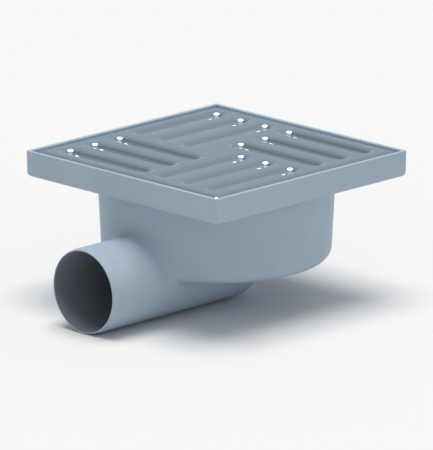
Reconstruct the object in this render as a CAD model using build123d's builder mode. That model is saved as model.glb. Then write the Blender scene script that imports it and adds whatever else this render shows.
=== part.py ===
"""Square floor gully: a moulded trap body, a bell that makes the water seal, and a pressed slotted grate.

Millimetres, +Z up. The origin is the centre of the grate's top, level with the finished floor.
The outlet points along -Y.
"""
import math
import os

from build123d import *

# Grate: one pressed sheet with a turned-down skirt and drawn slots
sheet = 1.5
grate_edge_radius = 5.6
grate_corner_radius = 3.0
grate_peak_radius = 1.0
slot_width = 6.0
slot_draw_radius = 6.0
slot_lip = 0.3
slot_land = 3.8
slots_per_quarter = 3
corner_trim_height = 4.4
corner_trim_run = 19.5

# Tray: the square frame that is set flush with the floor, its sides drafted
rim_side = 196.0
rim_wall = 3.2
rim_draft = 0.5
ledge_depth = 17.5
tray_floor = 2.0
grate_clearance = 1.4
ledge_spare = 2.4
rim_corner_radius = 1.2
rim_foot_radius = 3.5
rim_top_radius = 0.4
ledge_root_radius = 0.8

# Basin under the tray
lip_radius = 5.8
basin_wall = 2.9
basin_draft = 3.0
basin_foot_radius = 9.1
basin_root_radius = 2.9

# Outlet: the standpipe turns into a duct under the basin, which is drafted and leaves as a straight spigot
pipe_radius = 31.5
pipe_wall = 1.5
duct_draft = 0.3
outlet_length = 48.9
spigot_offset = 2.9
lead_in = 0.8
lead_in_length = 5.6
duct_end_reach = 4.5
axis_drop = 0.9
blend_radius = 6.0

# Bell
bell_height = 51.5
bell_wall = 2.0
bell_draft = 0.8
bell_shoulder_radius = 15.3
bell_crown_radius = 190.0
bell_ribs = 4
rib_thickness = 2.0
rib_inset = 5.0
rib_guide = 15.0
rib_clearance = 0.5

# Fits and water passages
bell_gap = 1.7
seal_depth = 30.2
seal_gap = 7.1
roof_gap = 2.5
under_gap = 16.6

# How far a cutting form runs past the face that it opens
overshoot = 1.0

# Places that follow from the sizes above
tray_inside = rim_side - 2 * rim_wall
rim_depth = ledge_depth + tray_floor
grate_half = tray_inside / 2 - grate_clearance
grate_flat_half = grate_half - grate_edge_radius
slot_reach = slot_width / 2 + slot_draw_radius
slot_pitch = (grate_flat_half - slot_land - slot_reach) / slots_per_quarter
slot_run = slots_per_quarter * slot_pitch
slot_depth = slot_draw_radius + slot_lip

bell_top = -(slot_depth + bell_gap)
bell_bottom = bell_top - bell_height
standpipe_radius = pipe_radius - duct_draft
bell_radius = standpipe_radius + seal_gap + bell_wall
standpipe_top = bell_bottom + seal_depth

basin_bore = tray_inside / 2 - (grate_clearance + sheet + ledge_spare) - lip_radius
basin_radius = basin_bore + basin_wall
basin_floor = bell_bottom - under_gap
basin_bottom = basin_floor - basin_wall

pipe_bore = pipe_radius - pipe_wall
standpipe_bore = standpipe_radius - pipe_wall
standpipe_foot = basin_floor - basin_wall / 2
axis_z = basin_bottom - axis_drop
outlet_end = basin_radius + outlet_length
spigot_root = basin_radius + blend_radius + spigot_offset
roof_z = bell_bottom - roof_gap
duct_axis = Axis((0, 0, axis_z), (0, 1, 0))

os.makedirs("parts", exist_ok=True)


def slot_row(width):
    """Draws the slots: four quarters of parallel slots, each quarter turned against its neighbours."""
    spots = []
    for row in range(1, slots_per_quarter + 1):
        side = row * slot_pitch
        spots += [(-slot_run / 2, -side, 0), (slot_run / 2, side, 0)]
        spots += [(-side, slot_run / 2, 90), (side, -slot_run / 2, 90)]
    for x, y, turn in spots:
        with Locations(Location((x, y, 0), (0, 0, turn))):
            SlotCenterToCenter(slot_run, width)


def pressed_cap(inset, sections=7):
    """The grate's outer form, or with an inset the hollow under its sheet."""
    half = grate_half - inset
    edge = grate_edge_radius - inset
    with BuildPart() as cap:
        for step in range(sections):
            turn = math.radians(90 * step / (sections - 1))
            side = 2 * (half - edge * (1 - math.cos(turn)))
            peak = grate_peak_radius / 2
            corner = peak + (grate_corner_radius - inset - peak) * math.cos(turn)
            with BuildSketch(Plane.XY.offset(-inset - edge * (1 - math.sin(turn)))):
                RectangleRounded(side, side, corner)
        loft()
        with BuildSketch(Plane.XY.offset(-ledge_depth)):
            RectangleRounded(2 * half, 2 * half, grate_corner_radius - inset)
        extrude(amount=ledge_depth - grate_edge_radius)
    return cap.part


def duct(radius, reach):
    """A round duct along -Y: straight in the spigot, then drafted to a half sphere behind the standpipe."""
    narrow = radius - duct_draft
    with BuildPart() as tube:
        with BuildSketch(Plane.YZ):
            with BuildLine():
                start = (-reach, axis_z)
                shoulder = (duct_end_reach, axis_z + narrow)
                end = (duct_end_reach + narrow, axis_z)
                Polyline(start, (-reach, axis_z + radius), (-spigot_root, axis_z + radius), shoulder)
                RadiusArc(shoulder, end, narrow)
                Line(end, start)
            make_face()
        revolve(axis=duct_axis)
    return tube.part


def below(height):
    """Everything below a level, as wide as the whole gully."""
    depth = rim_side
    with BuildPart() as block:
        with BuildSketch(Plane.XY.offset(height - depth)):
            Rectangle(4 * outlet_end, 4 * outlet_end)
        extrude(amount=depth)
    return block.part


# Grate

with BuildPart() as under_sheet:
    add(pressed_cap(sheet))
    with BuildSketch(Plane.XY.offset(-slot_depth)):
        slot_row(slot_width + 2 * sheet)
    extrude(amount=slot_depth - sheet, mode=Mode.SUBTRACT)
    draws = under_sheet.faces().sort_by(Axis.Z)[-1].inner_wires().edges()
    fillet(draws, slot_draw_radius - sheet)

with BuildPart() as grate:
    add(pressed_cap(0))
    with BuildSketch(Plane.XY):
        slot_row(slot_width)
    extrude(amount=-ledge_depth, mode=Mode.SUBTRACT)
    draws = grate.faces().sort_by(Axis.Z)[-1].inner_wires().edges()
    fillet(draws, slot_draw_radius)
    add(under_sheet.part, mode=Mode.SUBTRACT)
    # The skirt's lower edge rises towards each corner
    for turn in range(4):
        outward = Vector(1, 0, 0).rotate(Axis.Z, 90 * turn)
        along = Vector(0, 1, 0).rotate(Axis.Z, 90 * turn)
        with BuildSketch(Plane(outward * (grate_half + overshoot), x_dir=along, z_dir=outward)):
            with BuildLine():
                foot = (grate_half - corner_trim_run, -ledge_depth)
                peak = (grate_half + overshoot, -ledge_depth + corner_trim_height)
                below_peak = (peak[0], foot[1] - overshoot)
                below_foot = (foot[0], foot[1] - overshoot)
                Spline(foot, peak, tangents=[(1, 0), (1, 2 * corner_trim_height / corner_trim_run)])
                Polyline(peak, below_peak, below_foot, foot)
            make_face()
            mirror(about=Plane.YZ)
        extrude(amount=-(grate_corner_radius + overshoot), mode=Mode.SUBTRACT)
grate.part.label = "grate"
export_step(grate.part, "parts/grate.step")


# Bell

def bell_outline(inset):
    """Half section of the bell's outside, or with an inset of its inside."""
    mouth = bell_radius - inset
    shoulder = mouth - bell_draft
    top = bell_top - inset
    crown = bell_crown_radius - inset
    edge = top - (crown - math.sqrt(crown**2 - shoulder**2))
    with BuildSketch(Plane.XZ) as outline:
        with BuildLine():
            Polyline((0, top), (0, bell_bottom), (mouth, bell_bottom), (shoulder, edge))
            RadiusArc((shoulder, edge), (0, top), -crown)
        make_face()
        corner = outline.vertices().sort_by_distance((shoulder, edge))[0]
        fillet(corner, bell_shoulder_radius - inset)
    return outline.sketch


with BuildPart() as bell_inside:
    add(bell_outline(bell_wall))
    revolve(axis=Axis.Z)

with BuildPart() as ribs:
    with BuildSketch(Plane.XZ) as rib_outline:
        with BuildLine():
            guide_radius = standpipe_radius + rib_clearance
            inner_radius = standpipe_bore - rib_inset
            Polyline(
                (inner_radius, bell_top),
                (inner_radius, standpipe_top),
                (guide_radius, standpipe_top),
                (guide_radius, standpipe_top - rib_guide),
                (bell_radius, standpipe_top - rib_guide),
                (bell_radius, bell_top),
                close=True,
            )
        make_face()
    extrude(amount=rib_thickness / 2, both=True)
    add(bell_inside.part, mode=Mode.INTERSECT)

with BuildPart() as bell:
    add(bell_outline(0))
    revolve(axis=Axis.Z)
    add(bell_inside.part, mode=Mode.SUBTRACT)
    with PolarLocations(0, bell_ribs, start_angle=45):
        add(ribs.part)
bell.part.label = "bell"
export_step(bell.part, "parts/bell.step")


# Trap body

def basin(radius, floor, brim, rise, brim_radius, foot_radius):
    """The basin as a turned form that flares out at its brim and is rounded at its foot."""
    flange = radius + brim_radius + overshoot
    foot = radius - basin_draft
    with BuildPart() as form:
        with BuildSketch(Plane.XZ) as outline:
            with BuildLine():
                Polyline(
                    (0, brim + rise),
                    (0, floor),
                    (foot, floor),
                    (radius, brim),
                    (flange, brim),
                    (flange, brim + rise),
                    close=True,
                )
            make_face()
            fillet(outline.vertices().sort_by_distance((foot, floor))[0], foot_radius)
            fillet(outline.vertices().sort_by_distance((radius, brim))[0], brim_radius)
        revolve(axis=Axis.Z)
    return form.part


basin_outside = basin(
    basin_radius, basin_bottom, -rim_depth, tray_floor / 2, basin_root_radius, basin_foot_radius
)
basin_inside = basin(
    basin_bore, basin_floor, -ledge_depth, overshoot, lip_radius, basin_foot_radius - basin_wall
)
bore = duct(pipe_bore, outlet_end + overshoot)

with BuildPart() as outer_duct:
    # Turned over, so that the seam of its round face stays away from the blend into the basin
    add(duct(pipe_radius, outlet_end).rotate(duct_axis, 180))
    mouth = outer_duct.faces().sort_by(Axis.Y)[0]
    chamfer(mouth.edges(), lead_in, lead_in_length, reference=mouth)

with BuildPart() as standpipe:
    with BuildSketch(Plane.XY.offset(standpipe_foot)):
        Circle(standpipe_radius)
    extrude(amount=standpipe_top - standpipe_foot)

# The room in the basin, round the standpipe and the duct, whose roof is flat there, below the bell's mouth
basin_room = basin_inside - (outer_duct.part & below(roof_z)) - standpipe.part

with BuildPart() as trap_body:
    with BuildSketch(Plane.XY.offset(-rim_depth)):
        foot_side = rim_side - 2 * rim_draft
        RectangleRounded(foot_side, foot_side, rim_corner_radius)
    extrude(amount=rim_depth, taper=-math.degrees(math.atan(rim_draft / rim_depth)))
    fillet(trap_body.faces().sort_by(Axis.Z)[0].edges(), rim_foot_radius)
    add(basin_outside)
    add(outer_duct.part)
    fillet(trap_body.edges(Select.NEW), blend_radius)
    # The recess for the grate and the open basin
    with BuildSketch(Plane.XY.offset(-ledge_depth)):
        Rectangle(tray_inside, tray_inside)
    extrude(amount=ledge_depth, mode=Mode.SUBTRACT)
    ledge = trap_body.faces(Select.LAST).filter_by(Axis.Z).sort_by(Axis.Z)[0]
    fillet(ledge.edges(), ledge_root_radius)
    fillet(trap_body.faces().sort_by(Axis.Z)[-1].edges(), rim_top_radius)
    add(basin_room, mode=Mode.SUBTRACT)
    # The bore: flat-roofed inside the basin, full round outside it, and up through the standpipe
    add(bore & below(roof_z - pipe_wall), mode=Mode.SUBTRACT)
    add(bore - basin_outside, mode=Mode.SUBTRACT)
    with BuildSketch(Plane.XY.offset(axis_z)):
        Circle(standpipe_bore)
    extrude(amount=standpipe_top - axis_z, mode=Mode.SUBTRACT)
trap_body.part.label = "trap_body"
export_step(trap_body.part, "parts/trap_body.step")
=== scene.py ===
"""Looks of the square floor gully: its finishes, a pale floor, soft studio light and the camera.

Metres, +Z up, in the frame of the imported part: the origin is the centre of the grate's top.
The camera looks at the corner between the outlet's side and the side on its right.
"""
import math

import bpy
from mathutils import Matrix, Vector


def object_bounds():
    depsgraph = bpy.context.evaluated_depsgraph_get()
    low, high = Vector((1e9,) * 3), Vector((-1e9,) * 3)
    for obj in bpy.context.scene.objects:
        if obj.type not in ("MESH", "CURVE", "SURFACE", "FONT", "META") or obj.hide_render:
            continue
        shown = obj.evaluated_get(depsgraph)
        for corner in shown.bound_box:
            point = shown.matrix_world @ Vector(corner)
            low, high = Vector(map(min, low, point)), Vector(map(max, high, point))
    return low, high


MILLIMETRE = 0.001
ALONG = Vector((0.0, 1.0, 0.0))
UP = Vector((0.0, 0.0, 1.0))

# Camera, at the photograph's viewing angle. FRONT is the level way from the part to the camera.
AZIMUTH = math.radians(45)
ELEVATION = math.radians(15.14)
DISTANCE = 6.792
LENS = 746.4
AIM = Vector((0.0, 0.0, -0.056))
FRONT = Vector((math.sin(AZIMUTH), -math.cos(AZIMUTH), 0.0))
RIGHT = Vector((math.cos(AZIMUTH), math.sin(AZIMUTH), 0.0))

# The sky's brightness at four heights, from the horizon at 0 to overhead at 1. The front is the
# camera's side of the part, the back is beyond the part, and left and right are as the camera sees.
SKY_HEIGHTS = (0.0, 0.26, 0.64, 1.0)
SKY_FRONT = (0.32, 0.62, 0.74, 0.39)
SKY_BACK = (0.8, 0.49, 0.45, 0.39)
SKY_RIGHT = (1.0, 0.62, 0.42, 0.39)
SKY_LEFT = (0.62, 0.45, 0.22, 0.39)
SKY_TINT = (0.965, 0.99, 1.015)

# The lamp straight above, and the floor
LAMP_SPREAD = math.radians(39)
LAMP_STRENGTH = 2.55
LAMP_TINT = (1.0, 0.965, 0.915)
FLOOR_SIZE = 30.0
FLOOR_COLOUR = (0.755, 0.765, 0.785)
FLOOR_ROUGHNESS = 0.9
FLOOR_SHINE = 0.2

# Most values of a noise lie between these two
NOISE_LOW = 0.3
NOISE_HIGH = 0.7

# Moulded PVC: the lengths in millimetres of its clouds of colour, its soft waves and its grain
PVC_COLOUR = (0.36, 0.447, 0.534)
BELL_COLOUR = (0.29, 0.36, 0.44)
PVC_IOR = 1.53
PVC_CLOUDS = 38.0
PVC_WAVES = 7.0
PVC_GRAIN = 0.9
PVC_CLOUD_CONTRAST = 0.035
PVC_CLOUD_DULLING = 0.03
PVC_GRAIN_HEIGHT = 0.3

# Pressed steel: its hair is long along X and fine across it, in millimetres
STEEL_COLOUR = (0.56, 0.655, 0.755)
STEEL_EDGE = (0.8, 0.87, 0.93)
STEEL_HAIR = (26.0, 0.22, 0.22)
STEEL_CLOUDS = 30.0
STEEL_CONTRAST = 0.02
STEEL_BUMP = 0.004

# Painted shade in the outlet's bore. It stops between the duct's closed end and the basin's wall.
# The bore's colour is multiplied darker to stand in for the shade inside the duct.
BORE_PAINTED_SHADE = (0.56, 0.515, 0.49)
BORE_RADIUS = 0.0306
BORE_FADE = 0.2 * MILLIMETRE
BORE_FACING = 5 * MILLIMETRE
BORE_LIMIT_Y = 0.04
DUCT_AXIS_Z = -0.0799


class Graph:
    """A node tree, with short ways to add nodes and join them."""

    def __init__(self, tree):
        self.tree = tree

    def add(self, kind, **values):
        """A node whose named inputs hold a value or are joined to a socket."""
        node = self.tree.nodes.new(kind)
        for name, value in values.items():
            self.put(node.inputs[name.replace("_", " ")], value)
        return node

    def put(self, socket, value):
        if isinstance(value, bpy.types.NodeSocket):
            self.tree.links.new(value, socket)
        else:
            socket.default_value = value

    def maths(self, operation, first, second):
        node = self.tree.nodes.new("ShaderNodeMath")
        node.operation = operation
        self.put(node.inputs[0], first)
        self.put(node.inputs[1], second)
        return node.outputs[0]

    def vector(self, operation, first, second=(0.0, 0.0, 0.0), output="Vector"):
        node = self.tree.nodes.new("ShaderNodeVectorMath")
        node.operation = operation
        self.put(node.inputs[0], first)
        self.put(node.inputs[1], second)
        return node.outputs[output]

    def toward(self, place, direction):
        """How far a vector reaches in a direction."""
        return self.vector("DOT_PRODUCT", place, direction, output="Value")

    def ramp(self, value, low, high, to_low=0.0, to_high=1.0):
        """A value from low to high, taken to the range to_low to to_high and held at its ends."""
        node = self.add("ShaderNodeMapRange", Value=value)
        node.inputs["From Min"].default_value = low
        node.inputs["From Max"].default_value = high
        node.inputs["To Min"].default_value = to_low
        node.inputs["To Max"].default_value = to_high
        return node.outputs["Result"]

    def profile(self, height, levels):
        """The brightness at a height, on straight lines between the levels at SKY_HEIGHTS."""
        node = self.add("ShaderNodeValToRGB", Fac=height)
        stops = node.color_ramp.elements
        while len(stops) < len(levels):
            stops.new(1.0)
        for stop, position, level in zip(stops, SKY_HEIGHTS, levels):
            stop.position = position
            stop.color = (level, level, level, 1.0)
        return node.outputs["Color"]


class Finish(Graph):
    """A material's node tree, in the coordinates of the object that it is on."""

    def __init__(self, name):
        self.material = bpy.data.materials.new(name)
        self.material.use_nodes = True
        super().__init__(self.material.node_tree)
        self.shader = self.tree.nodes["Principled BSDF"]
        self.coordinates = self.add("ShaderNodeTexCoord").outputs
        self.place = self.coordinates["Object"]

    def noise(self, x, y, z, detail=2.0, roughness=0.5):
        """Noise with grains of these lengths, in millimetres."""
        where = self.add("ShaderNodeMapping", Vector=self.place)
        where.inputs["Scale"].default_value = [1 / (length * MILLIMETRE) for length in (x, y, z)]
        node = self.add("ShaderNodeTexNoise", Vector=where.outputs["Vector"], Scale=1.0)
        node.inputs["Detail"].default_value = detail
        node.inputs["Roughness"].default_value = roughness
        return node.outputs["Fac"]

    def spread(self, noise, to_low=0.0, to_high=1.0):
        """A noise's usual values, taken to a range."""
        return self.ramp(noise, NOISE_LOW, NOISE_HIGH, to_low, to_high)

    def bore_shade_mask(self):
        """Where the painted shade goes: 1 on the faces of the duct's bore, which look at its axis, and 0
        on every other face.
        """
        axis = self.add("ShaderNodeMapping", Vector=self.place)
        axis.inputs["Location"].default_value = (0.0, 0.0, -DUCT_AXIS_Z)
        axis.inputs["Scale"].default_value = (1.0, 0.0, 1.0)
        outward = axis.outputs["Vector"]
        reach = self.vector("LENGTH", outward, output="Value")
        near = self.ramp(reach, BORE_RADIUS, BORE_RADIUS + BORE_FADE, 1.0, 0.0)
        facing = self.toward(self.coordinates["Normal"], outward)
        inward = self.ramp(facing, -BORE_FACING, 0.0, 1.0, 0.0)
        along = self.toward(self.place, ALONG)
        before_end = self.ramp(along, BORE_LIMIT_Y, BORE_LIMIT_Y + MILLIMETRE, 1.0, 0.0)
        return self.maths("MULTIPLY", self.maths("MULTIPLY", near, inward), before_end)

    def tinted(self, factor, first, second, blend="MIX"):
        """A colour between two others, or a colour multiplied by another."""
        node = self.tree.nodes.new("ShaderNodeMix")
        node.data_type = "RGBA"
        node.blend_type = blend
        self.put(node.inputs["Factor"], factor)
        colours = [socket for socket in node.inputs if socket.type == "RGBA"]
        for socket, colour in zip(colours, (first, second)):
            self.put(socket, colour)
        return [socket for socket in node.outputs if socket.type == "RGBA"][0]

    def clouded(self, noise, colour, contrast):
        """A colour that a noise makes darker and lighter by a share."""
        return self.tinted(self.spread(noise), shade(colour, 1 - contrast), shade(colour, 1 + contrast))

    def bump(self, height, distance):
        """Height from 0 to 1 as a bump of that many millimetres."""
        node = self.add("ShaderNodeBump", Height=height)
        node.inputs["Strength"].default_value = 1.0
        node.inputs["Distance"].default_value = distance * MILLIMETRE
        self.put(self.shader.inputs["Normal"], node.outputs["Normal"])

    def give(self, **values):
        """Values or sockets for the shader's named inputs."""
        for name, value in values.items():
            self.put(self.shader.inputs[name.replace("_", " ")], value)


def shade(colour, share):
    return (*(min(1.0, part * share) for part in colour), 1.0)


def moulded(name, colour, roughness, shine, peel):
    """Injection-moulded PVC: faint clouds of colour, a fine moulded grain that breaks up the gloss, and
    painted shade in the bore.
    """
    finish = Finish(name)
    clouds = finish.noise(PVC_CLOUDS, PVC_CLOUDS, PVC_CLOUDS, detail=3.0)
    grain = finish.noise(PVC_GRAIN, PVC_GRAIN, PVC_GRAIN, detail=4.0, roughness=0.6)
    waves = finish.noise(PVC_WAVES, PVC_WAVES, PVC_WAVES, detail=1.0)
    dull = finish.spread(clouds, roughness - PVC_CLOUD_DULLING, roughness + PVC_CLOUD_DULLING)
    tint = finish.clouded(clouds, colour, PVC_CLOUD_CONTRAST)
    finish.give(
        # Painted shade: the bore's colour is multiplied darker to stand in for the shade inside the duct.
        Base_Color=finish.tinted(finish.bore_shade_mask(), tint, (*BORE_PAINTED_SHADE, 1.0), "MULTIPLY"),
        Roughness=finish.maths("ADD", dull, finish.ramp(grain, 0.2, 0.8, -0.03, 0.05)),
        IOR=PVC_IOR,
        Specular_IOR_Level=shine,
    )
    low_grain = finish.ramp(grain, 0.0, 1.0, 0.0, PVC_GRAIN_HEIGHT)
    finish.bump(finish.maths("ADD", low_grain, waves), peel)
    return finish.material


def pressed_steel(name, colour):
    """Smooth stainless sheet: a very fine grain along X, in the gloss and as a faint bump."""
    finish = Finish(name)
    hair = finish.noise(*STEEL_HAIR, detail=5.0, roughness=0.65)
    clouds = finish.noise(STEEL_CLOUDS, STEEL_CLOUDS, STEEL_CLOUDS)
    dull = finish.spread(hair, 0.1, 0.14)
    finish.give(
        Base_Color=finish.clouded(hair, colour, STEEL_CONTRAST),
        Roughness=finish.maths("ADD", dull, finish.spread(clouds, -0.01, 0.02)),
        Metallic=1.0,
        Specular_Tint=(*STEEL_EDGE, 1.0),
    )
    finish.bump(hair, STEEL_BUMP)
    return finish.material


def finish_node(node, material):
    node.data.materials.clear()
    node.data.materials.append(material)


def add_camera():
    camera = bpy.data.objects.new("camera", bpy.data.cameras.new("camera"))
    back = FRONT * math.cos(ELEVATION) + UP * math.sin(ELEVATION)
    camera.location = AIM + back * DISTANCE
    camera.rotation_mode = "QUATERNION"
    camera.rotation_quaternion = (-back).to_track_quat("-Z", "Y")
    camera.data.lens = LENS
    camera.data.clip_end = 100.0
    bpy.context.scene.collection.objects.link(camera)
    bpy.context.scene.camera = camera


def add_floor(height):
    """A plain pale floor under the lowest point."""
    half = FLOOR_SIZE / 2
    corners = [(-half, -half, height), (half, -half, height), (half, half, height), (-half, half, height)]
    mesh = bpy.data.meshes.new("floor")
    mesh.from_pydata(corners, [], [(0, 1, 2, 3)])
    floor = bpy.data.objects.new("floor", mesh)
    bpy.context.scene.collection.objects.link(floor)
    finish = Finish("pale_floor")
    finish.give(Base_Color=(*FLOOR_COLOUR, 1.0), Roughness=FLOOR_ROUGHNESS, Specular_IOR_Level=FLOOR_SHINE)
    finish_node(floor, finish.material)


def add_sky():
    """Plain soft light from all round: each side's levels, blended by how far a direction leans to it."""
    world = bpy.data.worlds.new("studio")
    bpy.context.scene.world = world
    world.use_nodes = True
    graph = Graph(world.node_tree)
    place = graph.add("ShaderNodeTexCoord").outputs["Generated"]
    height = graph.toward(place, UP)
    level = graph.vector("NORMALIZE", graph.vector("MULTIPLY", place, (1.0, 1.0, 0.0)))
    light = 0.0
    for side, levels in ((FRONT, SKY_FRONT), (-FRONT, SKY_BACK), (RIGHT, SKY_RIGHT), (-RIGHT, SKY_LEFT)):
        share = graph.maths("MAXIMUM", graph.toward(level, side), 0.0)
        lit = graph.maths("MULTIPLY", graph.profile(height, levels), graph.maths("MULTIPLY", share, share))
        light = graph.maths("ADD", light, lit)
    background = graph.tree.nodes["Background"]
    graph.put(background.inputs["Strength"], light)
    background.inputs["Color"].default_value = (*SKY_TINT, 1.0)


def add_lamp():
    """Wide soft light from straight above, which makes the bright glints on the drawn edges."""
    lamp = bpy.data.objects.new("lamp", bpy.data.lights.new("lamp", "SUN"))
    lamp.data.angle = LAMP_SPREAD
    lamp.data.energy = LAMP_STRENGTH
    lamp.data.color = LAMP_TINT
    bpy.context.scene.collection.objects.link(lamp)


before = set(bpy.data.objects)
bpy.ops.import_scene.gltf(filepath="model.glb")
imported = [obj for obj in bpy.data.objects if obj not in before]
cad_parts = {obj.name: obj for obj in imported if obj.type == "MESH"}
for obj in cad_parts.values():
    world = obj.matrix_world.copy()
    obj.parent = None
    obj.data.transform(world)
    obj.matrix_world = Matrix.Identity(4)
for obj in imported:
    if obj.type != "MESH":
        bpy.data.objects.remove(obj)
cad_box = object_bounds()
bpy.context.scene.view_settings.view_transform = "Standard"

add_camera()
add_sky()
add_lamp()
add_floor(cad_box[0].z)
satin_pvc = moulded("moulded_pvc", PVC_COLOUR, roughness=0.38, shine=0.06, peel=0.03)
glossy_pvc = moulded("bell_pvc", BELL_COLOUR, roughness=0.12, shine=0.2, peel=0.02)
finish_node(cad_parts["trap_body"], satin_pvc)
finish_node(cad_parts["bell"], glossy_pvc)
finish_node(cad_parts["grate"], pressed_steel("grate_steel", STEEL_COLOUR))
